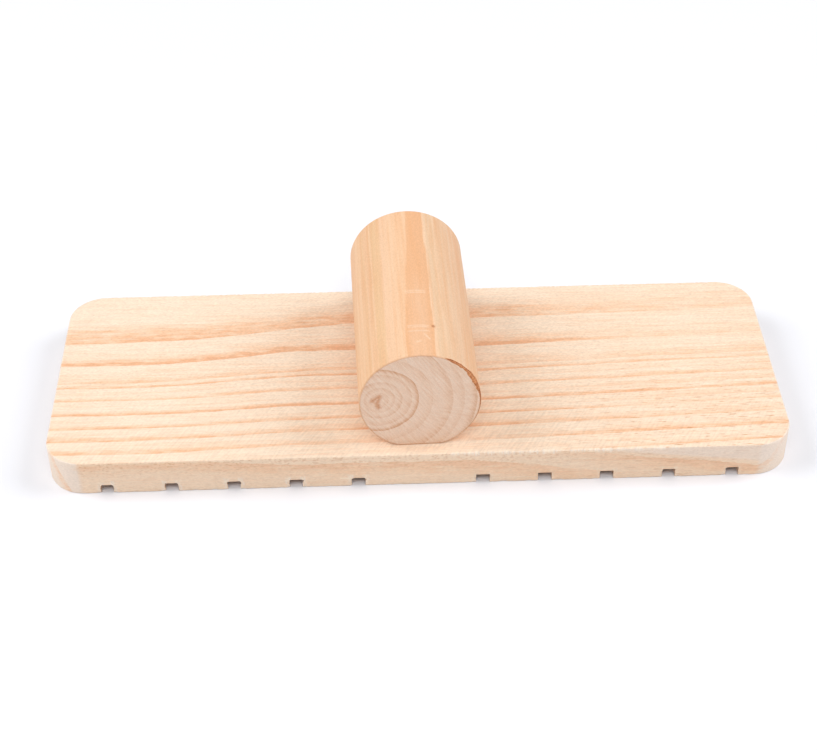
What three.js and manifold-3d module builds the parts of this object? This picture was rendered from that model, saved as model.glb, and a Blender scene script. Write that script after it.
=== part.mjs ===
// A wooden hand float: a flat softwood board with a ribbed sole, and a round softwood handle
// seated across its middle on a planed flat and held by two countersunk screws from below.
// Millimetres. +X runs along the board, +Y away from the user and +Z up; the origin is the
// middle of the sole.
import * as THREE from "three";
import { mergeVertices } from "three/addons/utils/BufferGeometryUtils.js";
import Module from "manifold-3d";

const wasm = await Module();
wasm.setup();

// Driving dimensions.
const BOARD = { length: 240, width: 86, thickness: 13, cornerRadius: 12, arris: 0.5 };
const GROOVE = { depth: 3.5, innerWidth: 4.6, outerWidth: 4.2 };
const GROOVE_PLACES = [-100.6, -80, -60, -40, -20, 20, 40, 60, 80, 100.6];
const HANDLE = { diameter: 38.4, length: 77, flatDepth: 1.5, arris: 0.3 };
const SEAT = { x: -1, y: 0.3, skewDegrees: 1.5, glueLine: 0.1 };
const SCREW = {
  length: 35,
  headRadius: 4.2,
  rim: 0.35,
  shankRadius: 1.65,
  rootRadius: 1.45,
  threadRadius: 2.25,
  threadStart: 11,
  pitch: 2.2,
  tipLength: 4.5,
};
const RECESS = { armLength: 4.6, armWidth: 1.0, depth: 2.1, floorRadius: 0.9 };
const SCREW_PLACES = [
  { name: "screw_front", y: -23, turnDegrees: 17 },
  { name: "screw_rear", y: 23, turnDegrees: 58 },
];
const HEAD_SUNK = 0.8; // how far a screw head lies above the plane of the sole
const FIT_GAP = 0.3; // between a screw and the wood round it

// Facets.
const CORNER_STEPS = 12;
const ROUND_STEPS = 72;
const BORE_STEPS = 24;
const SCREW_STEPS = 16;
const ROWS_PER_TURN = 6; // rows of facets in one turn of the thread

const HALF_TURN = Math.PI;
const QUARTER_TURN = Math.PI / 2;
const seatTop = BOARD.thickness + SEAT.glueLine;
const axisHeight = seatTop + HANDLE.diameter / 2 - HANDLE.flatDepth;

// A closed three.js geometry as a solid that can be cut.
function solidOf(geometry) {
  const bare = geometry.clone();
  bare.deleteAttribute("normal");
  bare.deleteAttribute("uv");
  const merged = mergeVertices(bare, 1e-3);
  const corners = [];
  const index = merged.index.array;
  for (let i = 0; i < index.length; i += 3) {
    const [a, b, c] = [index[i], index[i + 1], index[i + 2]];
    if (a !== b && b !== c && c !== a) corners.push(a, b, c);
  }
  return new wasm.Manifold(
    new wasm.Mesh({
      numProp: 3,
      vertProperties: merged.attributes.position.array,
      triVerts: new Uint32Array(corners),
    }),
  );
}

// The solid's faces as a three.js geometry again.
function geometryOf(solid) {
  const mesh = solid.getMesh();
  const positions = new Float32Array(mesh.numVert * 3);
  for (let i = 0; i < mesh.numVert; i++) {
    const from = i * mesh.numProp;
    positions.set(mesh.vertProperties.subarray(from, from + 3), i * 3);
  }
  return new THREE.BufferGeometry()
    .setAttribute("position", new THREE.BufferAttribute(positions, 3))
    .setIndex(new THREE.BufferAttribute(mesh.triVerts, 1));
}

function cut(blank, tools) {
  return geometryOf(tools.reduce((left, tool) => left.subtract(solidOf(tool)), solidOf(blank)));
}

function boxAt(width, depth, height, x, y, z) {
  return new THREE.BoxGeometry(width, depth, height).translate(x, y, z);
}

// A turned solid standing on +Z, from its profile as [radius, height] points.
function turned(profile, steps) {
  const points = profile.map(([radius, height]) => new THREE.Vector2(radius, height));
  return new THREE.LatheGeometry(points, steps).rotateX(QUARTER_TURN);
}

function roundedOutline(length, width, radius) {
  const [x, y] = [length / 2 - radius, width / 2 - radius];
  const outline = new THREE.Shape();
  outline.absarc(x, -y, radius, -QUARTER_TURN, 0);
  outline.absarc(x, y, radius, 0, QUARTER_TURN);
  outline.absarc(-x, y, radius, QUARTER_TURN, HALF_TURN);
  outline.absarc(-x, -y, radius, HALF_TURN, HALF_TURN + QUARTER_TURN);
  outline.closePath();
  return outline;
}

function boardBlank() {
  const { length, width, thickness, cornerRadius, arris } = BOARD;
  const outline = roundedOutline(length - 2 * arris, width - 2 * arris, cornerRadius - arris);
  return new THREE.ExtrudeGeometry(outline, {
    depth: thickness - 2 * arris,
    bevelThickness: arris,
    bevelSize: arris,
    bevelSegments: 1,
    curveSegments: CORNER_STEPS,
  }).translate(0, 0, arris);
}

// The grooves cross the sole from edge to edge, a little narrower towards the ends. The middle
// of the sole is left whole for the screws.
function grooveCutters() {
  const nearest = Math.min(...GROOVE_PLACES.map(Math.abs));
  const farthest = Math.max(...GROOVE_PLACES.map(Math.abs));
  return GROOVE_PLACES.map((x) => {
    const outward = (Math.abs(x) - nearest) / (farthest - nearest);
    const width = THREE.MathUtils.lerp(GROOVE.innerWidth, GROOVE.outerWidth, outward);
    return boxAt(width, BOARD.width + 2, 2 * GROOVE.depth, x, 0, 0);
  });
}

// The hole through the board that a screw's head and shank pass, seen from below.
function clearanceHole() {
  const head = SCREW.headRadius + FIT_GAP;
  const shank = SCREW.threadRadius + FIT_GAP;
  const rim = HEAD_SUNK + SCREW.rim;
  const profile = [
    [0, -1],
    [head, -1],
    [head, rim],
    [shank, rim + head - shank],
    [shank, BOARD.thickness + 1],
    [0, BOARD.thickness + 1],
  ];
  return turned(profile, BORE_STEPS);
}

function pilotHole() {
  const radius = SCREW.threadRadius + FIT_GAP;
  const tip = HEAD_SUNK + SCREW.length + FIT_GAP;
  const profile = [
    [0, BOARD.thickness - 1],
    [radius, BOARD.thickness - 1],
    [radius, tip - radius],
    [0, tip],
  ];
  return turned(profile, BORE_STEPS);
}

// The radius of a screw's core at a height above its head's outer face.
function coreRadius(height) {
  const { headRadius, rim, shankRadius, rootRadius, threadStart, length, tipLength } = SCREW;
  const cone = headRadius - (height - rim);
  if (height <= rim) return headRadius;
  if (cone > shankRadius) return cone;
  if (height < threadStart) return shankRadius;
  const toTip = Math.min(1, (length - height) / tipLength);
  return rootRadius * toTip;
}

// How far the thread stands off the core: one ridge a turn, run in and out at its ends.
function threadHeight(height, angle) {
  const turns = (height - SCREW.threadStart) / SCREW.pitch;
  const phase = THREE.MathUtils.euclideanModulo(turns - angle / (2 * HALF_TURN), 1);
  const ridge = Math.max(0, 1 - Math.abs(phase - 0.5) / 0.3);
  const runIn = THREE.MathUtils.clamp(turns, 0, 1);
  const runOut = THREE.MathUtils.clamp((SCREW.length - height) / SCREW.tipLength, 0, 1);
  return (SCREW.threadRadius - SCREW.rootRadius) * ridge * runIn * runOut;
}

function screwBlank() {
  const coneEnd = SCREW.rim + SCREW.headRadius - SCREW.shankRadius;
  const heights = [0, SCREW.rim, coneEnd];
  const row = SCREW.pitch / ROWS_PER_TURN;
  for (let h = SCREW.threadStart; h < SCREW.length - row / 2; h += row) heights.push(h);
  const profile = heights.map((h) => [1, h]);
  const blank = turned([[0, 0], ...profile, [0, SCREW.length]], SCREW_STEPS);
  const place = blank.attributes.position;
  for (let i = 0; i < place.count; i++) {
    const [x, y, height] = [place.getX(i), place.getY(i), place.getZ(i)];
    if (Math.hypot(x, y) < 0.5) continue;
    const angle = Math.atan2(y, x);
    const radius = coreRadius(height) + threadHeight(height, angle);
    place.setXY(i, radius * Math.cos(angle), radius * Math.sin(angle));
  }
  return blank;
}

// The cross recess: two crossed arms inside a cone that narrows to the recess floor.
function crossRecess() {
  const { armLength, armWidth, depth, floorRadius } = RECESS;
  const reach = 2 * depth;
  const arms = solidOf(boxAt(armLength, armWidth, reach, 0, 0, 0)).add(
    solidOf(boxAt(armWidth, armLength, reach, 0, 0, 0)),
  );
  const cone = turned(
    [
      [0, -depth],
      [armLength / 2, -depth],
      [armLength / 2, 0],
      [floorRadius, depth],
      [0, depth],
    ],
    BORE_STEPS,
  );
  return geometryOf(arms.intersect(solidOf(cone)));
}

function handleBlank() {
  const [radius, half, arris] = [HANDLE.diameter / 2, HANDLE.length / 2, HANDLE.arris];
  const profile = [
    [0, -half],
    [radius - arris, -half],
    [radius, arris - half],
    [radius, half - arris],
    [radius - arris, half],
    [0, half],
  ];
  return turned(profile, ROUND_STEPS).rotateX(QUARTER_TURN).translate(0, 0, axisHeight);
}

function flatCutter() {
  const { diameter, length } = HANDLE;
  return boxAt(diameter, length + 2, diameter, 0, 0, seatTop - diameter / 2);
}

// Materials.
const pine = new THREE.MeshStandardMaterial({ color: 0xf2d3ae, roughness: 0.72, metalness: 0 });
const firDowel = new THREE.MeshStandardMaterial({ color: 0xeec196, roughness: 0.7, metalness: 0 });
const zincSteel = new THREE.MeshStandardMaterial({ color: 0xb9b6ac, roughness: 0.35, metalness: 1 });

function named(name, geometry, material) {
  const mesh = new THREE.Mesh(geometry, material);
  mesh.name = name;
  return mesh;
}

// The handle's own frame, a little off the board's middle and a little off square.
const seat = new THREE.Group();
seat.position.set(SEAT.x, SEAT.y, 0);
seat.rotation.z = THREE.MathUtils.degToRad(SEAT.skewDegrees);
seat.updateMatrix();

const boardHoles = SCREW_PLACES.map(({ y }) =>
  clearanceHole().translate(0, y, 0).applyMatrix4(seat.matrix),
);
const board = named("board", cut(boardBlank(), [...grooveCutters(), ...boardHoles]), pine);

const pilotHoles = SCREW_PLACES.map(({ y }) => pilotHole().translate(0, y, 0));
seat.add(named("handle", cut(handleBlank(), [flatCutter(), ...pilotHoles]), firDowel));

const screwShape = cut(screwBlank(), [crossRecess()]);
for (const { name, y, turnDegrees } of SCREW_PLACES) {
  const screw = named(name, screwShape, zincSteel);
  screw.position.set(0, y, HEAD_SUNK);
  screw.rotation.z = THREE.MathUtils.degToRad(turnDegrees);
  seat.add(screw);
}

const handFloat = new THREE.Group();
handFloat.add(board, seat);

export default handFloat;
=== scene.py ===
"""A wooden hand float: a grooved softwood board, a round softwood handle and two zinc screws."""

import math
from functools import partial

import bmesh
import bpy
from mathutils import Matrix, Vector, noise


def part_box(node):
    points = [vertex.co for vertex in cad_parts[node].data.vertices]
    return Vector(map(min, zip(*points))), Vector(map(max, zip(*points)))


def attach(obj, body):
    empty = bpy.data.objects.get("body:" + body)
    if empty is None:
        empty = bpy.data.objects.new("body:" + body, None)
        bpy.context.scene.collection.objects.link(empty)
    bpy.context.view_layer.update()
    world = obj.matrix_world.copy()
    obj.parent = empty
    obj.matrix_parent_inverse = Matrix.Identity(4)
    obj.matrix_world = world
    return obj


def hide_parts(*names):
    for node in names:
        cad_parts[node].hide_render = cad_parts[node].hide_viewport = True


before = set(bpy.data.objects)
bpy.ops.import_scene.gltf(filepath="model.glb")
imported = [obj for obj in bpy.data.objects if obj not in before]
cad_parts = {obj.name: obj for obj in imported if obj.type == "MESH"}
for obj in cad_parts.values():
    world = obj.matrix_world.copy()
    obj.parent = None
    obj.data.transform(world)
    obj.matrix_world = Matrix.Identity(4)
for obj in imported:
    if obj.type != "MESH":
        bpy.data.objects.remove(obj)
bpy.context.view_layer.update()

MM = 0.001
BOARD_LOW, BOARD_HIGH = (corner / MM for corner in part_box("board"))
HALF_LENGTH, HALF_WIDTH, THICK = BOARD_HIGH
CORNER_RADIUS = 12
GROOVES = [-100.6, -80, -60, -40, -20, 20, 40, 60, 80, 100.6]
GROOVE_DEPTH = 3.5
INNER_GROOVE, OUTER_GROOVE = 4.6, 4.2
BOARD_ARRIS = 0.4
CORNER_STEPS = 22
NEAR = 1e-6  # mm, for telling whether two places are the same

HANDLE_RADIUS = 19.2
HANDLE_HALF = 38.5
HANDLE_ARRIS = 0.25
HANDLE_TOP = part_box("handle")[1].z / MM
HANDLE_AXIS = HANDLE_TOP - HANDLE_RADIUS
HANDLE_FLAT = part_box("handle")[0].z / MM - HANDLE_AXIS
SEAT_X, SEAT_Y = -1.0, 0.3
SEAT_SKEW = math.radians(1.5)
SEAT = Matrix.Translation((SEAT_X, SEAT_Y, 0)) @ Matrix.Rotation(SEAT_SKEW, 4, "Z")

# Each screw's place along the handle and its turn in degrees.
SCREWS = {"screw_front": (-23, 17), "screw_rear": (23, 58)}
SCREW_LENGTH = 35
HEAD_SUNK = 0.8
HEAD_RADIUS, HEAD_RIM = 4.2, 0.35
SHANK_RADIUS, ROOT_RADIUS, THREAD_RADIUS = 1.65, 1.45, 2.25
THREAD_START, THREAD_PITCH, TIP_LENGTH = 11, 2.2, 4.5
FIT_GAP = 0.3

# The pine's growth rings: where each year ends, in mm from the pith, and how strong its dark growth
# is at the left end, beside the handle and at the right end.
PINE_RINGS = [
    (6, 0.5, 0.5, 0.5), (12, 0.5, 0.5, 0.5), (18, 0.5, 0.5, 0.5), (24.6, 0.5, 0.5, 0.5),
    (30.2, 0.9, 0.9, 0.5), (36.4, 0.83, 0.88, 0.27), (43.3, 0.5, 0.45, 0.36),
    (45.2, 0.68, 0.65, 0.48), (47.9, 0.25, 0.12, 0.24), (50.9, 0.52, 0.6, 0.42),
    (54.3, 0.1, 0.1, 0.3), (57.2, 0.7, 0.9, 0.6), (60.4, 0.1, 0.1, 0.25), (63.0, 0.6, 0.65, 0.3),
    (68.4, 0.66, 0.64, 0.4), (74.3, 0.68, 0.4, 0.66), (78.6, 0.6, 0.55, 0.0),
    (80.6, 0.0, 0.1, 0.6), (85.5, 0.6, 0.6, 0.6), (91.0, 0.6, 0.6, 0.6),
]
FIRST_BAND_RADIUS = 30.2
# The front edge of the broad band over the pith, as it runs along the top face.
FIRST_BAND_EDGE = [
    (-120, 16.9), (-95, 17.1), (-75, 17.9), (-57, 19.9), (-40, 22.7),
    (-22, 24.4), (22, 25.7), (60, 26.7), (120, 28.1),
]
# The dowel's rings in the same way, on its side and on its ends; it has no third station.
DOWEL_RINGS = [
    (3.0, 0.1, 0.14, 0), (5.0, 0.1, 0.16, 0), (7.4, 0.15, 0.2, 0), (10.4, 0.2, 0.18, 0),
    (12.6, 0.25, 0.44, 0), (17.1, 0.1, 0.14, 0), (23.4, 0.0, 0.2, 0), (27.0, 0.0, 0.15, 0),
    (31.0, 0.2, 0.3, 0), (36.0, 0.2, 0.3, 0),
]
# The dowel's tones on its side, by distance from its pith in mm.
DOWEL_TONES = [
    (0, "#e9c19a"), (9.0, "#eac39d"), (10.6, "#e5bc92"), (11.2, "#e9c29d"), (12.9, "#e8c099"),
    (13.3, "#e2b98e"), (15.1, "#e5bd94"), (15.7, "#eac4a2"), (18.9, "#e8c09c"), (24.5, "#e8be99"),
    (24.8, "#e9c6a5"), (25.3, "#e1be9c"), (26.2, "#e0bd9a"), (26.5, "#e8c7a6"), (26.9, "#e3be9b"),
    (29.5, "#e5c1a0"), (31, "#e1ba96"), (36, "#e5c1a0"),
]
DOWEL_PITH = (-12.8, 1.6)  # x and z from the handle's axis
PLANE_SLANT = 60  # degrees, of the plane's ripples on the top face
SAW_SLANT = -55  # degrees, of the saw marks across the handle's ends
PIN_KNOT = (5.13, -23.8, 18.5)

# The middle of what a noise pattern gives, where nearly all its values lie.
MOST = {"From Min": 0.3, "From Max": 0.7}
# What makes a mix node mix colours.
COLOURS = {"data_type": "RGBA", "out": 2}


# ---------------------------------------------------------------- shared tools


def linear(hex_colour, alpha=1.0):
    """An sRGB hex colour as the linear RGBA that a shader takes."""
    parts = [int(hex_colour[i : i + 2], 16) / 255 for i in (1, 3, 5)]
    return tuple(c / 12.92 if c <= 0.04045 else ((c + 0.055) / 1.055) ** 2.4 for c in parts) + (alpha,)


def add_node(tree, kind, feeds=None, out=0, **settings):
    """Adds a shader node, or takes one there is, sets and links its inputs and returns an output."""
    node = tree.nodes.new("ShaderNode" + kind) if isinstance(kind, str) else kind
    for name, value in settings.items():
        setattr(node, name, value)
    for key, value in (feeds or {}).items():
        if isinstance(value, bpy.types.NodeSocket):
            tree.links.new(value, node.inputs[key])
        else:
            node.inputs[key].default_value = value
    return node.outputs[out]


def fill_ramp(socket, stops, interpolation="LINEAR"):
    """Gives the colour ramp behind a socket its stops, as (place, colour or grey) pairs."""
    ramp = socket.node.color_ramp
    ramp.interpolation = interpolation
    while len(ramp.elements) > 1:
        ramp.elements.remove(ramp.elements[-1])
    for number, (place, tone) in enumerate(stops):
        stop = ramp.elements[0] if number == 0 else ramp.elements.new(place)
        stop.position = place
        stop.color = tone if isinstance(tone, tuple) else (tone, tone, tone, 1)
    return socket


def fill_curve(socket, points):
    """Gives the float curve behind a socket straight lines through its points, from 0 to 1."""
    curve = socket.node.mapping.curves[0]
    while len(curve.points) < len(points):
        curve.points.new(0.5, 0.5)
    for number, place in enumerate(points):
        curve.points[number].location = place
        curve.points[number].handle_type = "VECTOR"
    socket.node.mapping.update()
    return socket


def new_material(name):
    """An empty material: its node tree's add function and its shader node."""
    material = bpy.data.materials.new(name)
    material.use_nodes = True
    return material, partial(add_node, material.node_tree), material.node_tree.nodes["Principled BSDF"]


def weld(patches):
    """Joins grids of points in millimetres where they meet, as points and four-cornered faces."""
    places, points, faces = {}, [], []
    for rows in patches:
        grid = []
        for row in rows:
            line = []
            for point in row:
                key = tuple(round(c * 2000) for c in point)
                if key not in places:
                    places[key] = len(points)
                    points.append(Vector(point))
                line.append(places[key])
            grid.append(line)
        for low, high in zip(grid, grid[1:]):
            for a, b, c, d in zip(low, low[1:], high[1:], high):
                corners = list(dict.fromkeys((a, b, c, d)))
                if len(corners) > 2:
                    faces.append(corners)
    return points, faces


def new_piece(name, points, faces, sharp_degrees=35):
    """A mesh object from points in millimetres, faces turned outwards, smooth but for its corners."""
    mesh = bpy.data.meshes.new(name)
    mesh.from_pydata([p * MM for p in points], [], faces)
    tidy = bmesh.new()
    tidy.from_mesh(mesh)
    bmesh.ops.recalc_face_normals(tidy, faces=tidy.faces)
    tidy.to_mesh(mesh)
    tidy.free()
    piece = bpy.data.objects.new(name, mesh)
    bpy.context.scene.collection.objects.link(piece)
    smooth(piece, sharp_degrees)
    return piece


def smooth(piece, sharp_degrees=35):
    piece.data.shade_smooth()
    piece.data.set_sharp_from_angle(angle=math.radians(sharp_degrees))


def carve(piece, cutters):
    """Cuts the cutters out of the piece and removes them."""
    for cutter in cutters:
        cut = piece.modifiers.new("cut", "BOOLEAN")
        cut.operation, cut.solver, cut.object = "DIFFERENCE", "EXACT", cutter
    shown = piece.evaluated_get(bpy.context.evaluated_depsgraph_get())
    piece.data = bpy.data.meshes.new_from_object(shown)
    piece.modifiers.clear()
    for cutter in cutters:
        bpy.data.objects.remove(cutter)


def full_turn(steps):
    """Angles once round, with the first again at the end."""
    return [2 * math.pi * i / steps for i in range(steps + 1)]


def turned(name, profile, steps, placed):
    """A turned solid about Z from its (radius, height) profile, which starts and ends on the axis."""
    rows = [[(r * math.cos(t), r * math.sin(t), h) for t in full_turn(steps)] for r, h in profile]
    points, faces = weld([rows])
    return new_piece(name, [placed @ p for p in points], faces)


def even_steps(start, end, step):
    """Places from start up to, not including, end, evenly spaced no wider than step."""
    count = max(1, math.ceil((end - start) / step - NEAR))
    return [start + (end - start) * i / count for i in range(count)]


def store(piece, name, values):
    """Keeps one number a vertex on the piece, for its material to read."""
    layer = piece.data.attributes.new(name, "FLOAT", "POINT")
    layer.data.foreach_set("value", values)


def hump(value, low, high, soft):
    """1 between low and high, falling smoothly to 0 over soft on either side."""
    inside = min(value - low, high - value)
    t = min(1.0, max(0.0, inside / soft + 1))
    return t * t * (3 - 2 * t)


# ---------------------------------------------------------------- board


def groove_width(centre):
    nearest, farthest = min(map(abs, GROOVES)), max(map(abs, GROOVES))
    outward = (abs(centre) - nearest) / (farthest - nearest)
    return INNER_GROOVE + (OUTER_GROOVE - INNER_GROOVE) * outward


GROOVE_SPANS = [(x - groove_width(x) / 2, x + groove_width(x) / 2) for x in GROOVES]
GROOVE_WALLS = [wall for span in GROOVE_SPANS for wall in span]


def board_stations():
    """Places along the board, as (x, corner angle): finer at the grooves and round the corners."""
    corner = HALF_LENGTH - CORNER_RADIUS
    turns = [math.radians(90 * i / CORNER_STEPS) for i in range(CORNER_STEPS + 1)]
    marks = [-corner, *GROOVE_WALLS, corner]
    beside_wall, fine, coarse, groove_step = 0.9, 0.3, 0.62, 0.42
    straight = []
    for number, (start, end) in enumerate(zip(marks, marks[1:])):
        if number % 2:
            straight += even_steps(start, end, groove_step)
            continue
        straight += even_steps(start, start + beside_wall, fine)
        straight += even_steps(start + beside_wall, end - beside_wall, coarse)
        straight += even_steps(end - beside_wall, end, fine)
    return (
        [(-corner, -turn) for turn in reversed(turns[1:])]
        + [(x, 0.0) for x in straight]
        + [(corner, turn) for turn in turns]
    )


def edge_rows():
    """The board's edge from the top face to the sole, as (inset, height) pairs."""
    arris = BOARD_ARRIS
    rounding = [math.radians(angle) for angle in (0, 25, 50, 70, 90)]
    top = [(arris * (1 - math.sin(a)), THICK - arris * (1 - math.cos(a))) for a in rounding]
    wall = [(0, z) for z in reversed(even_steps(GROOVE_DEPTH, THICK - arris, 0.6))]
    rib = [(0, z) for z in reversed(even_steps(arris, GROOVE_DEPTH, 0.35))]
    bottom = [(inset, THICK - z) for inset, z in reversed(top)]
    return top + wall + rib[:-1] + bottom


def board_mesh():
    """The board as welded patches: faces, edges, ribs, groove floors and groove walls."""
    stations, rows = board_stations(), edge_rows()
    # lanes run along the board, from -1 at its front edge to 1 at its back
    at_edge = [-1 + from_edge / HALF_WIDTH for from_edge in (0, 0.35, 0.8, 1.5, 2.6, 4.2)]
    plain = 1 - 7 / HALF_WIDTH
    lanes = at_edge + even_steps(-plain, plain, 0.1) + [plain] + [-lane for lane in reversed(at_edge)]

    def at(station, inset, lane, z):
        x, turn = station
        reach = CORNER_RADIUS - inset
        half = HALF_WIDTH - CORNER_RADIUS + reach * math.cos(turn)
        return (x + reach * math.sin(turn), lane * half, z)

    patches = [[[at(s, rows[0][0], lane, THICK) for lane in lanes] for s in stations]]
    above = [row for row in rows if row[1] >= GROOVE_DEPTH - NEAR]
    below = [row for row in rows if row[1] <= GROOVE_DEPTH + NEAR]
    for side in (-1, 1):
        patches.append([[at(s, inset, side, z) for inset, z in above] for s in stations])
        end = stations[0] if side < 0 else stations[-1]
        patches.append([[at(end, inset, lane, z) for lane in lanes] for inset, z in rows])
    walls = [-math.inf, *GROOVE_WALLS, math.inf]
    for number, (start, end) in enumerate(zip(walls, walls[1:])):
        held = [s for s in stations if start - NEAR <= s[0] <= end + NEAR]
        if number % 2:
            patches.append([[at(s, 0, lane, GROOVE_DEPTH) for lane in lanes] for s in held])
            continue
        patches.append([[at(s, rows[-1][0], lane, 0) for lane in lanes] for s in held])
        for side in (-1, 1):
            patches.append([[at(s, inset, side, z) for inset, z in below] for s in held])
        for wall in (start, end):
            if math.isfinite(wall):
                station = (wall, 0.0)
                patches.append([[at(station, inset, lane, z) for lane in lanes] for inset, z in below])
    return weld(patches)


FRAYED_WIDTH = 3  # the strip along each long edge where tools have torn the wood at all
MOUTH_REACH, MOUTH_DEPTH = 1.1, 1.6  # how far a ragged groove mouth goes along and into the edge
TEAR_REACH = 1.2  # how far the plane has torn the top arris, inwards and down
NICK_HEIGHT = 1.0  # of the nicks along the lower arris


def fray(point):
    """Where a point of the board lies once saw and plane have torn its edges a little."""
    x, y, z = point
    to_edge = HALF_WIDTH - abs(y)
    moved = Vector(point)
    if to_edge > FRAYED_WIDTH:
        return moved
    inward = -math.copysign(1, y)
    rough = noise.noise(Vector((x * 0.8, y * 3, z * 0.9)))
    crisp = noise.noise(Vector((x * 2.3 + 40, y, z * 2.1)))
    front = 1.0 if y < 0 else 0.6
    # the saw leaves the groove mouths ragged, more on the side where it broke out
    for start, end in GROOVE_SPANS:
        middle, half = (start + end) / 2, (end - start) / 2
        beside = abs(x - middle) - half
        if beside < -0.9 or beside > MOUTH_REACH or z > GROOVE_DEPTH + 1.2:
            continue
        torn = 1.0 if middle < 0 else 0.45
        near = max(0.0, 1 - abs(beside) / MOUTH_REACH) * max(0.0, 1 - to_edge / MOUTH_DEPTH)
        side = math.copysign(1, x - middle)
        low = 1 - min(1.0, z / GROOVE_DEPTH)
        moved.x += side * near * torn * front * (0.55 * rough + 0.3 * low * crisp)
        if z >= GROOVE_DEPTH - 0.1:
            moved.z += near * torn * 0.2 * crisp
        if abs(z - GROOVE_DEPTH) < 0.1 and beside < 0.1:
            corner = max(0.0, 1 - abs(beside) / 0.45) * max(0.0, 1 - to_edge / 2) * torn
            moved.z -= 0.24 * corner
            moved.x -= side * 0.3 * corner
        moved.y += inward * near * torn * front * 0.35 * max(0, crisp + 0.15)
    # nicks along the lower arris
    if z < NICK_HEIGHT:
        nick = max(0.0, noise.noise(Vector((x * 0.7, 7, y * 0.1))) - 0.05)
        nick *= (NICK_HEIGHT - z) * max(0.0, 1 - to_edge)
        moved.y += inward * 0.35 * nick
        moved.z += 0.2 * nick
    # plane tear-out along the top arris, worst in the right half
    if z > THICK - TEAR_REACH and to_edge < TEAR_REACH:
        worst = hump(x, 18, 74, 16) if y < 0 else 0.3
        tear = max(0.0, noise.noise(Vector((x * 1.15, 3, y * 0.1))) + 0.1 * worst)
        near = (1 - (THICK - z) / TEAR_REACH) * (1 - to_edge / TEAR_REACH)
        moved.y += inward * near * tear * (0.1 + 0.65 * worst)
        moved.z -= near * tear * (0.05 + 0.3 * worst)
    return moved


# Wedges torn out beside the groove mouths: x, height and length.
SPLINTERS = [(-61.8, 3.4, 2.2), (-42.1, 3.1, 1.8), (-22.3, 3.5, 3.8)]


def splinter(point):
    """How much of the pale wedges torn out beside some groove mouths shows at a point."""
    x, y, z = point
    if y > -HALF_WIDTH + 0.3:
        return 0.0
    shares = [(start - x) / length for start, _, length in SPLINTERS]
    return max(
        max(0.0, 1 - abs(z - height) / (0.7 * (1.1 - share))) if 0 <= share <= 1 else 0.0
        for share, (_, height, _) in zip(shares, SPLINTERS)
    )


def make_board(material):
    points, faces = board_mesh()
    worn = []
    for number, point in enumerate(points):
        moved = fray(point)
        points[number] = Vector(min(max(m, a), b) for m, a, b in zip(moved, BOARD_LOW, BOARD_HIGH))
        worn.append(min(1.0, 3 * (moved - point).length + splinter(point)))
    board = new_piece("float_board", points, faces)
    store(board, "torn", worn)
    holes = []
    for name, (along, _) in SCREWS.items():
        head, shank = HEAD_RADIUS + FIT_GAP, THREAD_RADIUS + FIT_GAP
        rim, over = HEAD_SUNK + HEAD_RIM, THICK + 1
        profile = [(0, -1), (head, -1), (head, rim)]
        profile += [(shank, rim + head - shank), (shank, over), (0, over)]
        holes.append(turned(name + "_hole", profile, 64, SEAT @ Matrix.Translation((0, along, 0))))
    carve(board, holes)
    smooth(board)
    board.data.materials.append(material)
    return board


# ---------------------------------------------------------------- handle


def handle_section(turn_steps=232, flat_steps=14):
    """The handle's outline about its axis: a circle cut by the flat that sits on the board."""
    flat_half = math.sqrt(HANDLE_RADIUS**2 - HANDLE_FLAT**2)
    start = math.atan2(flat_half, -HANDLE_FLAT)
    arc = [start + (2 * math.pi - 2 * start) * i / turn_steps for i in range(turn_steps + 1)]
    flat = [-flat_half + 2 * flat_half * i / flat_steps for i in range(1, flat_steps + 1)]
    section = [(HANDLE_RADIUS * math.sin(a), -HANDLE_RADIUS * math.cos(a)) for a in arc]
    return section + [(x, HANDLE_FLAT) for x in flat]


SCRATCHES = [-6.0, -6.9, -23.7, -24.5, -26.4]  # across the top, by their place along the handle
SCRATCH_WIDTH, SCRATCH_DEPTH = 0.42, 0.07
TICKS = [((2.3, -28.2), (3.7, -30.4)), ((-0.6, -31.9), (0.7, -31.4))]  # short ones: from, to
# How far the front rim is chipped in, by the angle round the end from the right hand side.
CHIP = [
    (-45, 0), (-12, 0.2), (5, 0.35), (13, 0.8), (22, 1.1),
    (34, 1.1), (42, 0.5), (48, 0.7), (60, 0.55), (66, 0),
]
# The check at the pith on the front end, as it wanders over the end grain.
CHECK = [(-15.0, 1.4), (-12.6, 3.2), (-13.4, 0.4), (-13.0, -1.6)]
CHECK_DEPTH = 0.08


def between(table, value):
    """The value that a table of pairs gives, with straight lines between them and 0 outside."""
    for (low, start), (high, end) in zip(table, table[1:]):
        if low <= value < high:
            return start + (end - start) * (value - low) / (high - low)
    return 0.0


def to_line(point, start, end):
    """How far a point of the plane lies from the line between two others."""
    line = Vector(end) - Vector(start)
    share = (Vector(point) - Vector(start)).dot(line) / line.length_squared
    return (Vector(point) - Vector(start) - line * min(1.0, max(0.0, share))).length


def handle_rows():
    """Rows of points down the handle, as (places along it, shares of the outline on its ends)."""
    from_end = [0, 0.12, 0.25, 0.42, 0.65, 0.95, 1.35, 1.85, 2.5, 3.3]
    plain = HANDLE_HALF - 4.2
    middle = even_steps(-plain, -20, 0.45) + even_steps(-20, plain, 0.9)
    for place in SCRATCHES:
        middle += [place + d for d in (-0.28, -0.14, 0, 0.14, 0.28)]
    places = [-HANDLE_HALF + d for d in from_end] + sorted(middle) + [plain]
    places += [HANDLE_HALF - d for d in reversed(from_end)]
    shares = [0, 0.02] + [i / 44 for i in range(2, 38)]
    shares += [0.865, 0.885, 0.9, 0.914, 0.928, 0.94, 0.952, 0.963, 0.972, 0.98, 0.988, 0.994]
    return places, shares


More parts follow.
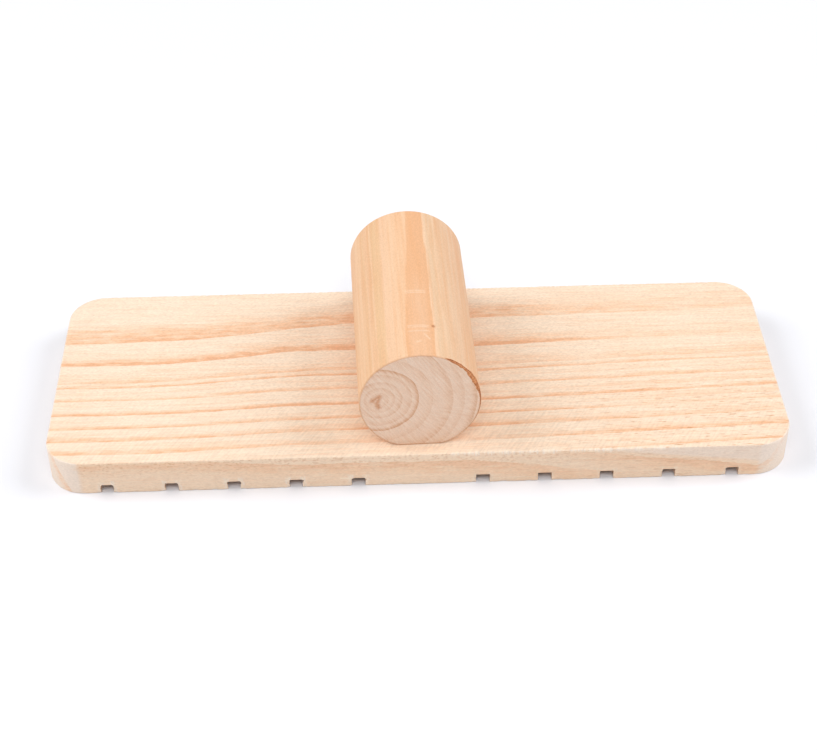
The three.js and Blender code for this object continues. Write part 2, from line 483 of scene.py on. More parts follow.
def batter(point):
    """Where a point of the handle lies once it is worn, and how torn and how scuffed it is there.

    Its ends are eased, its front rim is chipped, its pith has a check and its top is scratched.
    """
    x, along, z = point
    radius = math.hypot(x, z)
    if radius < NEAR:
        return Vector(point), 0.0, 0.0
    angle = math.degrees(math.atan2(z, x))
    moved = Vector(point)
    outward = Vector((x, 0, z)) / radius
    from_rim = max(0.0, HANDLE_RADIUS - radius)
    from_end = HANDLE_HALF - abs(along)
    inward = -math.copysign(1, along)
    if from_rim + from_end < HANDLE_ARRIS:
        push = (HANDLE_ARRIS - from_rim - from_end) / 2
        moved -= outward * push
        moved.y += inward * push
    torn = scuffed = 0.0
    if along < 0:
        size = between(CHIP, angle)
        size += 0.35 * min(1.0, size) * noise.noise(Vector((angle * 0.3, 2, 0)))
        depth = size - from_rim - 1.1 * from_end
        if depth > 0:
            grit = noise.noise(Vector((angle * 0.55, radius * 2.2, along * 1.4)))
            push = depth * (0.6 + 0.35 * grit)
            moved -= outward * push * 0.4
            moved.y += push
            torn = min(1.0, 0.28 + depth)
    if along == -HANDLE_HALF:
        ragged = 1.15 + 0.9 * noise.noise(Vector((x * 1.7, 5, z * 1.7)))
        off = min(to_line((x, z), a, b) for a, b in zip(CHECK, CHECK[1:]))
        split = max(0.0, 1 - off / ragged)
        moved.y += CHECK_DEPTH * split
        torn = max(torn, 0.125 * split)
    if radius > HANDLE_RADIUS - 0.05 and 76 < angle < 100:
        scratch = max(max(0.0, 1 - abs(along - place) / SCRATCH_WIDTH) for place in SCRATCHES)
        scratch *= hump(angle, 80, 97, 3)
        around = HANDLE_RADIUS * math.radians(90 - angle)
        tick = max(max(0.0, 1 - to_line((around, along), a, b) / 0.45) for a, b in TICKS)
        ragged = 0.75 + 0.6 * noise.noise(Vector((x * 1.3, along * 0.8, 9)))
        moved -= outward * SCRATCH_DEPTH * max(scratch, tick)
        scuffed = min(1.0, max(scratch * ragged, tick))
    return moved, torn, scuffed


def make_handle(material):
    section = handle_section()
    places, shares = handle_rows()
    barrel = [[(x, place, z) for x, z in section] for place in places]
    caps = [
        [[(x * share, end, z * share) for x, z in section] for share in shares + [1.0]]
        for end in (-HANDLE_HALF, HANDLE_HALF)
    ]
    points, faces = weld([barrel, *caps])
    worn = [batter(point) for point in points]
    handle = new_piece("dowel_handle", [moved for moved, _, _ in worn], faces)
    store(handle, "torn", [torn for _, torn, _ in worn])
    store(handle, "scuffed", [scuffed for _, _, scuffed in worn])
    pilots = []
    for name, (along, _) in SCREWS.items():
        radius, tip = THREAD_RADIUS + FIT_GAP, HEAD_SUNK + SCREW_LENGTH + FIT_GAP
        profile = [(0, THICK - 1), (radius, THICK - 1), (radius, tip - radius), (0, tip)]
        profile = [(r, h - HANDLE_AXIS) for r, h in profile]
        pilots.append(turned(name + "_pilot", profile, 32, Matrix.Translation((0, along, 0))))
    carve(handle, pilots)
    smooth(handle)
    handle.matrix_world = SEAT.copy()
    handle.location = (SEAT_X * MM, SEAT_Y * MM, HANDLE_AXIS * MM)
    handle.data.materials.append(material)
    return handle


# ---------------------------------------------------------------- screws


def screw_radius(height, angle):
    """The screw's surface at a height above its head's face: head, cone, shank, thread and point."""
    cone = HEAD_RADIUS - (height - HEAD_RIM)
    if height <= HEAD_RIM:
        return HEAD_RADIUS
    if cone > SHANK_RADIUS:
        return cone
    if height < THREAD_START:
        return SHANK_RADIUS
    turns = (height - THREAD_START) / THREAD_PITCH
    phase = (turns - angle / (2 * math.pi)) % 1
    ridge = max(0.0, 1 - abs(phase - 0.5) / 0.22)
    to_tip = min(1.0, (SCREW_LENGTH - height) / TIP_LENGTH)
    return ROOT_RADIUS * to_tip + (THREAD_RADIUS - ROOT_RADIUS) * ridge * min(1.0, turns) * to_tip


def make_screw(name, along, turn_degrees, material):
    """A countersunk wood screw, its head down, with a cross recess and one turning ridge of thread."""
    heights = [0.03, 0.1, HEAD_RIM] + even_steps(HEAD_RIM + 0.3, THREAD_START, 0.3)
    heights += even_steps(THREAD_START, SCREW_LENGTH, THREAD_PITCH / 12)
    turns = full_turn(56)
    rings = [([share * HEAD_RADIUS] * len(turns), 0) for share in (0, 0.3, 0.6, 0.8, 0.9)]
    rings.append(([HEAD_RADIUS - 0.06] * len(turns), 0))
    rings += [([screw_radius(h, t % (2 * math.pi)) for t in turns], h) for h in heights]
    rings.append(([0] * len(turns), SCREW_LENGTH))
    rows = [[(r * math.cos(t), r * math.sin(t), h) for r, t in zip(radii, turns)] for radii, h in rings]
    turn = Matrix.Rotation(math.radians(turn_degrees), 4, "Z")
    place = SEAT @ Matrix.Translation((0, along, HEAD_SUNK)) @ turn
    points, faces = weld([rows])
    screw = new_piece(name, [place @ p for p in points], faces, 50)
    # the cross recess: two tapered arms and a round middle that narrows to a point
    cutters = []
    wide, narrow, length, depth = 0.52, 0.34, 2.35, 2.0
    outer = [(x * length, y * wide, -0.3) for x, y in ((-1, -1), (1, -1), (1, 1), (-1, 1))]
    inner = [(x * 0.38, y * narrow / wide, depth) for x, y, _ in outer]
    sides = [(0, 1, 2, 3), (7, 6, 5, 4)] + [(i, i + 4, (i + 1) % 4 + 4, (i + 1) % 4) for i in range(4)]
    for quarter in (0, 1):
        arm = [Matrix.Rotation(math.pi / 2 * quarter, 4, "Z") @ Vector(p) for p in outer + inner]
        cutters.append(new_piece(f"{name}_arm_{quarter}", [place @ p for p in arm], sides))
    bowl = [(0, -0.3), (1.15, -0.3), (0.95, 0.9), (0.75, 1.9), (0, 2.4)]
    cutters.append(turned(name + "_bowl", bowl, 24, place))
    carve(screw, cutters)
    smooth(screw, 40)
    screw.data.materials.append(material)
    return screw


# ---------------------------------------------------------------- materials


def wood_place(add):
    """Where a point of the wood lies in mm, as a vector and as axes, and how far it faces each axis."""
    place = add("TexCoord", out="Object")
    place = add("VectorMath", {0: place, "Scale": 1000}, operation="SCALE")
    facing = add("TexCoord", out="Normal")
    facing = add("VectorMath", {0: facing}, operation="ABSOLUTE")
    axes, facing = (add("SeparateXYZ", {0: v}).node.outputs for v in (place, facing))
    return place, axes["X"], axes["Y"], axes["Z"], facing


def mottle(add, place, sizes, detail, roughness=0.5):
    """Uneven patches, from about 0.3 to 0.7, of these sizes in mm along X, Y and Z."""
    scale = tuple(1 / size for size in sizes)
    place = add("VectorMath", {0: place, 1: scale}, operation="MULTIPLY")
    inputs = {"Vector": place, "Scale": 1, "Detail": detail, "Roughness": roughness}
    return add("TexNoise", inputs)


def slanted(add, place, degrees, upright):
    """A place measured along and across a slanting line.

    The line lies in the plane of X and the upright axis, which is (1, 0) for Y and (0, 1) for Z.
    """
    cos, sin = math.cos(math.radians(degrees)), math.sin(math.radians(degrees))
    down, over = (
        add(
            "VectorMath",
            {0: place, 1: (level, *(rise * share for share in upright))},
            operation="DOT_PRODUCT",
            out="Value",
        )
        for level, rise in ((cos, sin), (-sin, cos))
    )
    return add("CombineXYZ", {"X": down, "Y": over})


def growth_rings(add, place, pith, grain, rings, stations, bends):
    """The radius of a place in a log and how dark the summer growth is there, from 0 to 1.

    place and pith are in millimetres and grain is the unit vector along the log. Each row of rings
    holds the radius where a year ends and how strong its dark growth is at three stations, which
    the vector stations weighs. A year darkens outwards and ends in a line. Each of the bends moves
    the rings about by up to a size, over a length along the grain and a width across it, all in
    mm, with so much detail.
    """
    spoke = add("VectorMath", {0: place, 1: pith}, operation="SUBTRACT")
    for size, long, wide, detail in bends:
        bend = mottle(add, place, [long if c else wide for c in grain], detail).node.outputs["Color"]
        bend = add("VectorMath", {0: bend, 1: (0.5, 0.5, 0.5)}, operation="SUBTRACT")
        spoke = add("VectorMath", {0: bend, 1: (size,) * 3, 2: spoke}, operation="MULTIPLY_ADD")
    across = tuple(1 - c for c in grain)
    spoke = add("VectorMath", {0: spoke, 1: across}, operation="MULTIPLY")
    radius = add("VectorMath", {0: spoke}, operation="LENGTH", out="Value")
    count, largest = len(rings), rings[-1][0]
    share = add("Math", {0: radius, 1: largest}, operation="DIVIDE")
    years = [(0, 0)] + [(row[0] / largest, (i + 1) / count) for i, row in enumerate(rings)]
    years = fill_curve(add("FloatCurve", {"Value": share}), years)
    years = add("Math", {0: years, 1: count}, operation="MULTIPLY")
    phase = add("Math", {0: years}, operation="FRACT")
    year = add("Math", {0: years}, operation="FLOOR")
    year = add("Math", {0: year, 1: 0.5}, operation="ADD")
    year = add("Math", {0: year, 1: count}, operation="DIVIDE")
    stops = [(i / count, (*row[1:], row[0] / largest)) for i, row in enumerate(rings)]
    strengths = fill_ramp(add("ValToRGB", {"Fac": year}), stops, "CONSTANT")
    strength = add("VectorMath", {0: strengths, 1: stations}, operation="DOT_PRODUCT", out="Value")
    line_radius = strengths.node.outputs["Alpha"]
    to_line = add("Math", {0: line_radius, 1: largest}, operation="MULTIPLY")
    to_line = add("Math", {0: to_line, 1: radius}, operation="SUBTRACT")
    line = add(
        "MapRange",
        {"Value": to_line, "From Min": 0.15, "From Max": 2.3, "To Min": 0.42, "To Max": 0},
        interpolation_type="SMOOTHSTEP",
    )
    shade = add(
        "MapRange",
        {"Value": phase, "From Min": 0.25, "From Max": 0.98, "To Min": 0, "To Max": 0.72},
        interpolation_type="SMOOTHSTEP",
    )
    dark = add("Math", {0: line, 1: shade}, operation="ADD")
    dark = add("Math", {0: dark, 1: strength}, operation="MULTIPLY")
    return radius, dark


def pine_board():
    """Pine, planed on top, sawn on its edges and in its grooves, with no finish on it.

    Pale cream spring growth shades into peach summer growth and stops in a line. The plane leaves a
    dry matt face, the saw a paler, duller and fuzzier one, and end grain is greyer still.
    """
    material, add, shader = new_material("pine_board")
    place, x, y, z, facing = wood_place(add)
    # the pith runs under the back of the board, dips left of the handle and drifts back to the right
    pith_z = add(
        "MapRange",
        {"Value": x, "From Min": -92, "From Max": -32, "To Min": -12.6, "To Max": -17},
        interpolation_type="SMOOTHSTEP",
    )
    pith_y = add(
        "MapRange",
        {"Value": x, "From Min": 15, "From Max": 125, "To Min": 30.8, "To Max": 35.4},
    )
    pith = add("CombineXYZ", {"X": x, "Y": pith_y, "Z": pith_z})
    left, right = (
        add("MapRange", {"Value": x, "From Min": near, "From Max": far}, interpolation_type="SMOOTHSTEP")
        for near, far in ((-30, -90), (25, 85))
    )
    not_right = add("Math", {0: 1, 1: right}, operation="SUBTRACT")
    middle = add("Math", {0: not_right, 1: left}, operation="SUBTRACT")
    stations = add("CombineXYZ", {"X": left, "Y": middle, "Z": right})
    bends = ((1.3, 75, 16, 2), (0.55, 14, 2.6, 3), (0.4, 4, 0.9, 2))
    radius, dark = growth_rings(add, place, pith, (1, 0, 0), PINE_RINGS, stations, bends)
    # right over the pith the rings lie almost flat, so on the top face the first broad band is set
    # out by how far back it reaches from its edge, and the inner years stay under the surface
    near_top = add("MapRange", {"Value": z, "From Min": 11.4, "From Max": 12.6})
    inner = add("Math", {0: radius, 1: FIRST_BAND_RADIUS}, operation="LESS_THAN")
    hidden = add("Math", {0: inner, 1: near_top}, operation="MULTIPLY")
    shown = add("Math", {0: 1, 1: hidden}, operation="SUBTRACT")
    dark = add("Math", {0: dark, 1: shown}, operation="MULTIPLY")
    along = add("MapRange", {"Value": x, "From Min": -HALF_LENGTH, "From Max": HALF_LENGTH})
    edge = [((at + HALF_LENGTH) / (2 * HALF_LENGTH), back / HALF_WIDTH) for at, back in FIRST_BAND_EDGE]
    edge = fill_curve(add("FloatCurve", {"Value": along}), edge)
    edge = add("Math", {0: edge, 1: HALF_WIDTH}, operation="MULTIPLY")
    waver = mottle(add, place, (16, 3, 1), 3)
    waver = add("Math", {0: waver, 1: 1.6, 2: y}, operation="MULTIPLY_ADD")
    behind = add("Math", {0: waver, 1: edge}, operation="SUBTRACT")
    behind = add("Math", {0: behind, 1: 1 / 20}, operation="MULTIPLY")
    band = fill_ramp(
        add("ValToRGB", {"Fac": behind}),
        [(0, 0.0), (0.036, 0.0), (0.044, 0.95), (0.1, 0.8), (0.28, 0.66), (0.5, 0.12), (0.7, 0.0)],
    )
    weaker = add(
        "MapRange",
        {"Value": x, "From Min": 20, "From Max": 80, "To Min": 0.95, "To Max": 0.36},
    )
    for share in (weaker, near_top):
        band = add("Math", {0: band, 1: share}, operation="MULTIPLY")
    dark = add("Math", {0: dark, 1: band}, operation="ADD")
    # the bands come and go along their length, in long stretches and in flecks
    for sizes, faint, strong in (((42, 9, 9), 0.8, 1.15), ((6, 1.6, 1.6), 0.6, 1.35)):
        patch = mottle(add, place, sizes, 2)
        patch = add("MapRange", {"Value": patch, **MOST, "To Min": faint, "To Max": strong})
        dark = add("Math", {0: dark, 1: patch}, operation="MULTIPLY")
    # a plain strip runs along the front of the top, but not at its right end
    strip = add("MapRange", {"Value": y, "From Min": -38.5, "From Max": -40, "To Max": 0.7})
    for share in (near_top, not_right):
        strip = add("Math", {0: strip, 1: share}, operation="MULTIPLY")
    banded = add("Math", {0: 1, 1: strip}, operation="SUBTRACT")
    # how far a face turns from the planed top: sawn along the grain, or across it as end grain
    sawn = add("MapRange", {"Value": facing["Z"], "From Min": 0.85, "From Max": 0.3})
    end_grain = add("MapRange", {"Value": facing["X"], "From Min": 0.02, "From Max": 0.12})
    sawn_along = add("Math", {0: sawn, 1: end_grain}, operation="SUBTRACT", use_clamp=True)
    deeper = add("MapRange", {"Value": sawn_along, "To Min": 1, "To Max": 1.3})
    for share in (banded, deeper):
        dark = add("Math", {0: dark, 1: share}, operation="MULTIPLY")
    # fibre streaks, drawn 1.1 and 0.4 mm wide, many times the real cells, so that they show
    streak = mottle(add, place, (26, 1.1, 1.1), 4, 0.6)
    fine = mottle(add, place, (11, 0.4, 0.4), 2)
    for fibres, faint, strong in ((streak, -0.18, 0.27), (fine, -0.15, 0.17)):
        tone = add("MapRange", {"Value": fibres, **MOST, "To Min": faint, "To Max": strong})
        dark = add("Math", {0: dark, 1: tone}, operation="ADD")
    dark = add("Math", {0: right, 1: 0.1, 2: dark}, operation="MULTIPLY_ADD", use_clamp=True)
    growth = ((0, "#edd7c0"), (0.35, "#ebccb0"), (0.7, "#eabf9c"), (1, "#e3ae88"))
    colour = add("ValToRGB", {"Fac": dark})
    colour = fill_ramp(colour, [(at, linear(tone)) for at, tone in growth])
    # resin canals, short brown dashes along the grain, thickest at the front right
    canal = mottle(add, place, (4.5, 0.42, 0.42), 1)
    canal = add("MapRange", {"Value": canal, "From Min": 0.63, "From Max": 0.7})
    to_right = add("MapRange", {"Value": x, "From Min": 20, "From Max": 85})
    to_front = add(
        "MapRange", {"Value": y, "From Min": 5, "From Max": -22, "To Min": 0.1, "To Max": 0.9}
    )
    for share in (to_right, to_front):
        canal = add("Math", {0: canal, 1: share}, operation="MULTIPLY")
    # the sawn faces are paler, and greyer over the ring line that slants down their right part
    pale = add("Math", {0: sawn, 1: 0.45}, operation="MULTIPLY")
    over_line = add("Math", {0: x, 1: 0.1225, 2: z}, operation="MULTIPLY_ADD")
    duller = add("MapRange", {"Value": over_line, "From Min": 19.2, "From Max": 20.2, "To Max": 0.6})
    for share in (sawn, right):
        duller = add("Math", {0: duller, 1: share}, operation="MULTIPLY")
    # end grain is grey between its rings
    grey = add("MapRange", {"Value": dark, "From Min": 0.25, "To Min": 0.85, "To Max": 0.1})
    grey = add("Math", {0: end_grain, 1: grey}, operation="MULTIPLY")
    # inside the grooves, away from the board's edges and ends and above the sole, it is browner: sawn
    # tone and painted shade
    inside = add("MapRange", {"Value": z, "From Min": 0.2, "From Max": 0.8, "To Max": 0.5})
    from_middle = add("Math", {0: y}, operation="ABSOLUTE")
    behind_edge = add("MapRange", {"Value": from_middle, "From Min": 42.98, "From Max": 42.7})
    off_centre = add("Math", {0: x}, operation="ABSOLUTE")
    before_end = add("Math", {0: off_centre, 1: 106}, operation="LESS_THAN")
    low = add("Math", {0: z, 1: GROOVE_DEPTH + 0.3}, operation="LESS_THAN")
    for share in (behind_edge, before_end, low):
        inside = add("Math", {0: inside, 1: share}, operation="MULTIPLY")
    # the saw has left small dark pits in the edges, thickest under the top arris and fewer at the right
    pits = mottle(add, place, (1.1, 0.6, 0.6), 1)
    pits = add("MapRange", {"Value": pits, "From Min": 0.52, "From Max": 0.7})
    upper = add(
        "MapRange",
        {"Value": z, "From Min": 6, "From Max": 12.2, "To Min": 0.12, "To Max": 0.5},
    )
    clean = add("MapRange", {"Value": x, "From Min": 30, "From Max": 75, "To Min": 1, "To Max": 0.3})
    for share in (upper, clean, sawn_along):
        pits = add("Math", {0: pits, 1: share}, operation="MULTIPLY")
    # torn fibres are pale and dry
    torn = add("Attribute", attribute_name="torn", out="Fac")
    torn = add("Math", {0: torn, 1: 0.75}, operation="MULTIPLY")
    for share, tone in (
        (canal, "#c99062"),
        (pale, "#f0d2b4"),
        (duller, "#eadacd"),
        (grey, "#ebdacb"),
        # painted shade, with some real sawn tone, inside the grooves
        (inside, "#d39a62"),
        (pits, "#cf9c72"),
        (torn, "#f7e6d0"),
    ):
        colour = add("Mix", {0: share, 6: colour, 7: linear(tone)}, **COLOURS)
    # the plane has left a slanting hatch of ripples beside the handle, drawn 0.7 mm apart
    hatch = mottle(add, slanted(add, place, PLANE_SLANT, (1, 0)), (5, 0.7, 1), 1)
    hatched = add("MapRange", {"Value": y, "From Min": -8, "From Max": -30, "To Min": 0.25})
    hatched = add("Math", {0: hatched, 1: near_top}, operation="MULTIPLY")
    # planed or sawn fuzz, drawn 0.4 mm wide
    fuzz = mottle(add, place, (0.9, 0.4, 0.4), 2)
    grit = add("Mix", {0: hatched, 2: fuzz, 3: hatch}, data_type="FLOAT")
    grit = add("Math", {0: grit, 1: fuzz}, operation="ADD")
    light = add(
        "MapRange",
        {"Value": grit, "From Min": 0.6, "From Max": 1.4, "To Min": 0.87, "To Max": 1.09},
    )
    even = add("MapRange", {"Value": sawn, "To Min": 1, "To Max": 0.5})
    colour = add("Mix", {0: even, 6: colour, 7: light}, blend_type="MULTIPLY", **COLOURS)
    rough = add("MapRange", {"Value": dark, "To Min": 0.74, "To Max": 0.56})
    rough = add("Mix", {0: sawn, 2: rough, 3: 0.85}, data_type="FLOAT")
    height = add("Math", {0: grit, 1: 0.6, 2: streak}, operation="MULTIPLY_ADD")
    relief = add("Bump", {"Height": height, "Strength": 0.7, "Distance": 0.09 * MM})
    add(shader, {"Base Color": colour, "Roughness": rough, "Normal": relief})
    return material


def spruce_dowel():
    """Spruce dowel, turned and sanded along its length and cross-cut at its ends, with no finish.

    Its side runs in long orange and pinkish streaks; its ends are dull, greyish end grain with
    faint rings, slanting saw marks and a small brown check at the pith.
    """
    material, add, shader = new_material("spruce_dowel")
    place, x, y, z, facing = wood_place(add)
    end_grain = add("MapRange", {"Value": facing["Y"], "From Min": 0.5, "From Max": 0.9})
    side = add("Math", {0: 1, 1: end_grain}, operation="SUBTRACT")
    stations = add("CombineXYZ", {"X": side, "Y": end_grain, "Z": 0.0})
    pith = add("CombineXYZ", {"X": DOWEL_PITH[0], "Y": y, "Z": DOWEL_PITH[1]})
    bends = ((1.3, 75, 16, 2), (0.34, 14, 2.6, 2))
    radius, dark = growth_rings(add, place, pith, (0, 1, 0), DOWEL_RINGS, stations, bends)
    # the side: tones that follow the rings outwards from the pith
    largest = DOWEL_TONES[-1][0]
    share = add("Math", {0: radius, 1: largest}, operation="DIVIDE")
    colour = add("ValToRGB", {"Fac": share})
    colour = fill_ramp(colour, [(r / largest, linear(tone)) for r, tone in DOWEL_TONES])
    # the orange band along the top, wider and rubbed paler towards the front
    waver = mottle(add, place, (1.5, 12, 1.5), 3)
    waver = add("Math", {0: waver, 1: 1.7, 2: x}, operation="MULTIPLY_ADD")
    start = add(
        "MapRange",
        {"Value": y, "From Min": -30, "From Max": 30, "To Min": -3.05, "To Max": 0.45},
    )
    band = add("Math", {0: waver, 1: start}, operation="SUBTRACT")
    band = add("MapRange", {"Value": band, "From Min": -0.25, "From Max": 0.45})
    out_of = add("MapRange", {"Value": waver, "From Min": 6.3, "From Max": 5.85})
    upper = add("Math", {0: z, 1: 10}, operation="GREATER_THAN")
    for share in (out_of, upper):
        band = add("Math", {0: band, 1: share}, operation="MULTIPLY")
    rubbed = add("MapRange", {"Value": waver, "From Min": -2.2, "From Max": -0.6})
    rubbed_out = add("MapRange", {"Value": waver, "From Min": 5.4, "From Max": 3.8})
    to_front = add("MapRange", {"Value": y, "From Min": 6, "From Max": -12})
    for share in (rubbed_out, to_front):
        rubbed = add("Math", {0: rubbed, 1: share}, operation="MULTIPLY")
    orange = add("Mix", {0: rubbed, 6: linear("#e1ae84"), 7: linear("#e2b590")}, **COLOURS)
    colour = add("Mix", {0: band, 6: colour, 7: orange}, **COLOURS)
    # fibre streaks, drawn 1.3 mm wide, many times the real cells, so that they show
    streak = mottle(add, place, (1.3, 34, 1.3), 4, 0.6)
    streaked = add("MapRange", {"Value": streak, "From Min": 0.42, "From Max": 0.75, "To Max": 0.65})
    tone = add("Math", {0: dark, 1: streaked}, operation="ADD", use_clamp=True)
    colour = add("Mix", {0: tone, 6: colour, 7: linear("#e0a879")}, **COLOURS)
    # the ends: end grain under slanting saw marks, drawn 0.55 mm apart, with rays at the lower right
    marks = mottle(add, slanted(add, place, SAW_SLANT, (0, 1)), (6, 0.55, 1), 3)
    spoke = add("VectorMath", {0: place, 1: pith}, operation="SUBTRACT")
    spoke = add("SeparateXYZ", {0: spoke}).node.outputs
    ray = add("Math", {0: spoke["Z"], 1: spoke["X"]}, operation="ARCTAN2")
    ray = add("Math", {0: ray, 1: 30}, operation="MULTIPLY")
    outwards = add("Math", {0: radius, 1: 1 / 5}, operation="MULTIPLY")
    ray = add("CombineXYZ", {"X": ray, "Y": outwards})
    ray = add("TexNoise", {"Vector": ray, "Scale": 1, "Detail": 2})
    lower_right = add("Math", {0: x, 1: z}, operation="SUBTRACT")
    lower_right = add(
        "MapRange",
        {"Value": lower_right, "From Min": -4, "From Max": 14, "To Min": 0.1, "To Max": 0.5},
    )
    marks = add("Mix", {0: lower_right, 2: marks, 3: ray}, data_type="FLOAT")
    marked = add(
        "MapRange",
        {"Value": marks, "From Min": 0.32, "From Max": 0.72, "To Min": 0.04, "To Max": 0.5},
    )
    end_tone = add("Math", {0: dark, 1: marked}, operation="ADD", use_clamp=True)
    end_colour = fill_ramp(
        add("ValToRGB", {"Fac": end_tone}),
        [(0, linear("#ecd3bf")), (0.4, linear("#e5c2a7")), (1, linear("#ca8e64"))],
    )
    # the sanded rim of each end is browner, and the foot of each end, where it sits on the board, gets a
    # painted contact shade
    from_axis = add("VectorMath", {0: place, 1: (1, 0, 1)}, operation="MULTIPLY")
    from_axis = add("VectorMath", {0: from_axis}, operation="LENGTH", out="Value")
    rim = add("MapRange", {"Value": from_axis, "From Min": 18.5, "From Max": 19, "To Max": 0.7})
    foot_shade = add(
        "MapRange",
        {"Value": z, "From Min": HANDLE_FLAT + 0.5, "From Max": HANDLE_FLAT + 0.1, "To Max": 0.8},
    )
    # rim now holds the brown rim and the painted shade at the foot
    rim = add("Math", {0: rim, 1: foot_shade}, operation="MAXIMUM")
    end_colour = add("Mix", {0: rim, 6: end_colour, 7: linear("#cd9468")}, **COLOURS)
    colour = add("Mix", {0: end_grain, 6: colour, 7: end_colour}, **COLOURS)
    # the pin knot on the top and the halo round it, then the pale wood that scratches bare
    from_knot = add("VectorMath", {0: place, 1: PIN_KNOT}, operation="DISTANCE", out="Value")
    halo, knot = (
        add("MapRange", {"Value": from_knot, "From Min": far, "From Max": near, "To Max": most})
        for far, near, most in ((1.3, 0.5, 0.3), (0.75, 0.35, 0.6))
    )
    scuff = add("Attribute", attribute_name="scuffed", out="Fac")
    scuff = add("Math", {0: scuff, 1: 0.45}, operation="MULTIPLY")
    for share, tone in ((halo, "#d9935c"), (knot, "#96562c"), (scuff, "#f3dcc4")):
        colour = add("Mix", {0: share, 6: colour, 7: linear(tone)}, **COLOURS)
    # the chipped rim and the check at the pith are brown, mottled by fuzz drawn 0.4 mm wide; the darkest
    # brown, at the chip's inner border, is a painted shadow line
    fuzz = mottle(add, place, (0.4, 0.9, 0.4), 2)
    torn = add("Attribute", attribute_name="torn", out="Fac")
    depth = add("Math", {0: fuzz, 1: 0.5}, operation="SUBTRACT")
    depth = add("Math", {0: depth, 1: 2.6, 2: torn}, operation="MULTIPLY_ADD")
    # the #8e5331 stop draws the painted shadow line along the chip's inner border
    browns = ((0.3, "#c98048"), (0.38, "#8e5331"), (0.6, "#b06c42"), (1, "#cf8f5e"))
    brown = add("ValToRGB", {"Fac": depth})
    brown = fill_ramp(brown, [(at, linear(tone)) for at, tone in browns])
    torn = add("MapRange", {"Value": torn, "From Max": 0.17})
    colour = add("Mix", {0: torn, 6: colour, 7: brown}, **COLOURS)
    light = add("MapRange", {"Value": fuzz, **MOST, "To Min": 0.935, "To Max": 1.05})
    colour = add("Mix", {0: 1, 6: colour, 7: light}, blend_type="MULTIPLY", **COLOURS)
    rough = add("MapRange", {"Value": streak, "To Min": 0.75, "To Max": 0.5})
    rough = add("Mix", {0: end_grain, 2: rough, 3: 0.85}, data_type="FLOAT")
    marks = add("Math", {0: marks, 1: 0.35}, operation="MULTIPLY")
    height = add("Mix", {0: end_grain, 2: streak, 3: marks}, data_type="FLOAT")
    height = add("Math", {0: fuzz, 1: 0.5, 2: height}, operation="MULTIPLY_ADD")
    relief = add("Bump", {"Height": height, "Strength": 0.6, "Distance": 0.08 * MM})
    add(shader, {"Base Color": colour, "Roughness": rough, "Normal": relief})
    return material


def zinc_steel():
    """Zinc-plated steel, rolled and bright: a pale yellowish-grey metal with a soft uneven shine."""
    material, add, shader = new_material("zinc_steel")
    place = add("TexCoord", out="Object")
    cloud = add("TexNoise", {"Vector": place, "Scale": 700, "Detail": 4})
    colour = fill_ramp(
        add("ValToRGB", {"Fac": cloud}), [(0.3, linear("#a9a595")), (0.7, linear("#cfcabb"))]
    )
    rough = add("MapRange", {"Value": cloud, "To Min": 0.25, "To Max": 0.5})
    relief = add("Bump", {"Height": cloud, "Strength": 0.3, "Distance": 0.02 * MM})
    add(shader, {"Base Color": colour, "Metallic": 1, "Roughness": rough, "Normal": relief})
    return material


def white_bench():
    """A matt white studio table top."""
    material, add, shader = new_material("white_bench")
    place = add("TexCoord", out="Object")
    cloud = add("TexNoise", {"Vector": place, "Scale": 3, "Detail": 3})
    colour = fill_ramp(
        add("ValToRGB", {"Fac": cloud}), [(0.3, linear("#e6e7ec")), (0.7, linear("#e8e9ee"))]
    )
    add(shader, {"Base Color": colour, "Roughness": 0.9})
    return material


# ---------------------------------------------------------------- camera, floor and light


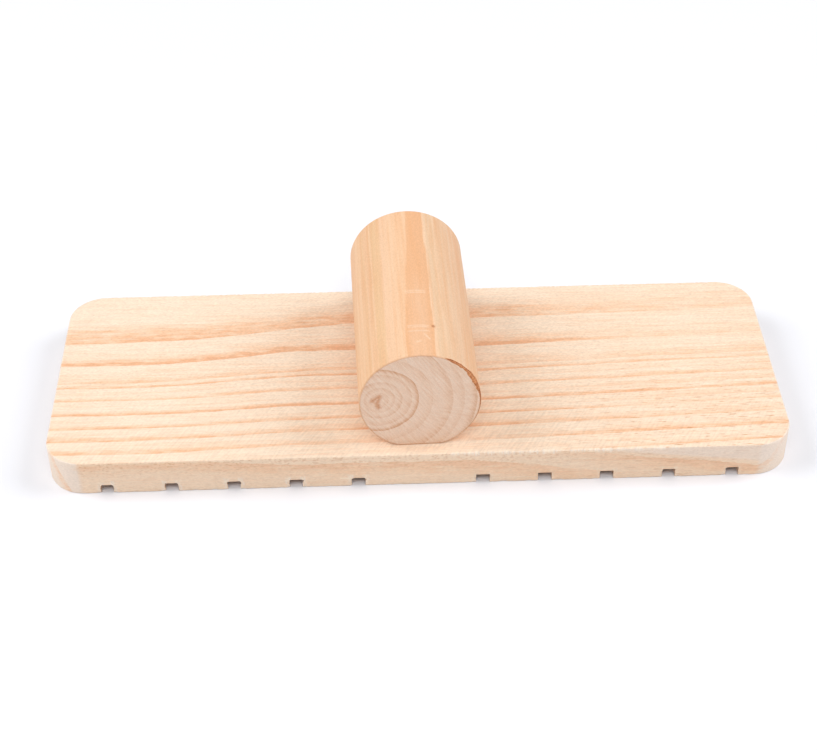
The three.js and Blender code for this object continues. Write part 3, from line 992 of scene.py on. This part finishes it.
def make_camera():
    """Looks down on the float from its user's side, a touch from the left and a touch tilted."""
    azimuth, elevation, roll = map(math.radians, (-1.594, 40.493, -0.538))
    target = Vector((-2.15, 11.25, 0)) * MM
    distance = 577.58 * MM
    lens = 73.29
    level = math.cos(elevation)
    back = Vector((math.sin(azimuth) * level, -math.cos(azimuth) * level, math.sin(elevation)))
    right = Vector((math.cos(azimuth), math.sin(azimuth), 0))
    up = back.cross(right)
    cos, sin = math.cos(roll), math.sin(roll)
    right, up = right * cos + up * sin, up * cos - right * sin
    camera = bpy.data.objects.new("camera", bpy.data.cameras.new("camera"))
    bpy.context.scene.collection.objects.link(camera)
    turn = Matrix((right, up, back)).transposed().to_4x4()
    camera.matrix_world = Matrix.Translation(target + back * distance) @ turn
    camera.data.sensor_width = 36
    camera.data.lens = lens
    bpy.context.scene.camera = camera


def make_light(name, place, size, watts):
    """A soft box at a place in metres, turned towards the float."""
    light = bpy.data.objects.new(name, bpy.data.lights.new(name, "AREA"))
    light.data.shape = "RECTANGLE"
    light.data.size, light.data.size_y = size
    light.data.energy = watts
    light.location = place
    light.rotation_euler = (-Vector(place)).to_track_quat("-Z", "Y").to_euler()
    bpy.context.scene.collection.objects.link(light)


def make_studio():
    """A white table under soft boxes at the left, the right and the front, in a pale room."""
    table_half = 4000
    square = ((-1, -1), (1, -1), (1, 1), (-1, 1))
    corners = [Vector((x * table_half, y * table_half, 0)) for x, y in square]
    floor = new_piece("bench", corners, [(0, 1, 2, 3)])
    floor.data.materials.append(white_bench())
    world = bpy.data.worlds.new("studio")
    bpy.context.scene.world = world
    world.use_nodes = True
    room = world.node_tree.nodes["Background"].inputs
    room["Color"].default_value = linear("#ffffff")
    room["Strength"].default_value = 0.33
    make_light("left_box", (-2.4, 0.25, 2.1), (1.9, 1.9), 56)
    make_light("right_box", (2.4, 0.25, 2.1), (1.9, 1.9), 52)
    make_light("front_box", (0, -1.85, 2.9), (2.5, 1.25), 50)
    bpy.context.scene.view_settings.view_transform = "Standard"


make_camera()
make_studio()
zinc = zinc_steel()
pieces = [
    (make_board(pine_board()), "board", "pine_board"),
    (make_handle(spruce_dowel()), "handle", "handle_wood"),
]
for name, (along, turn) in SCREWS.items():
    pieces.append((make_screw(name + "_zinc", along, turn, zinc), name, "zinc_steel"))
for piece, node, finish in pieces:
    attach(piece, "root")
    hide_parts(node)
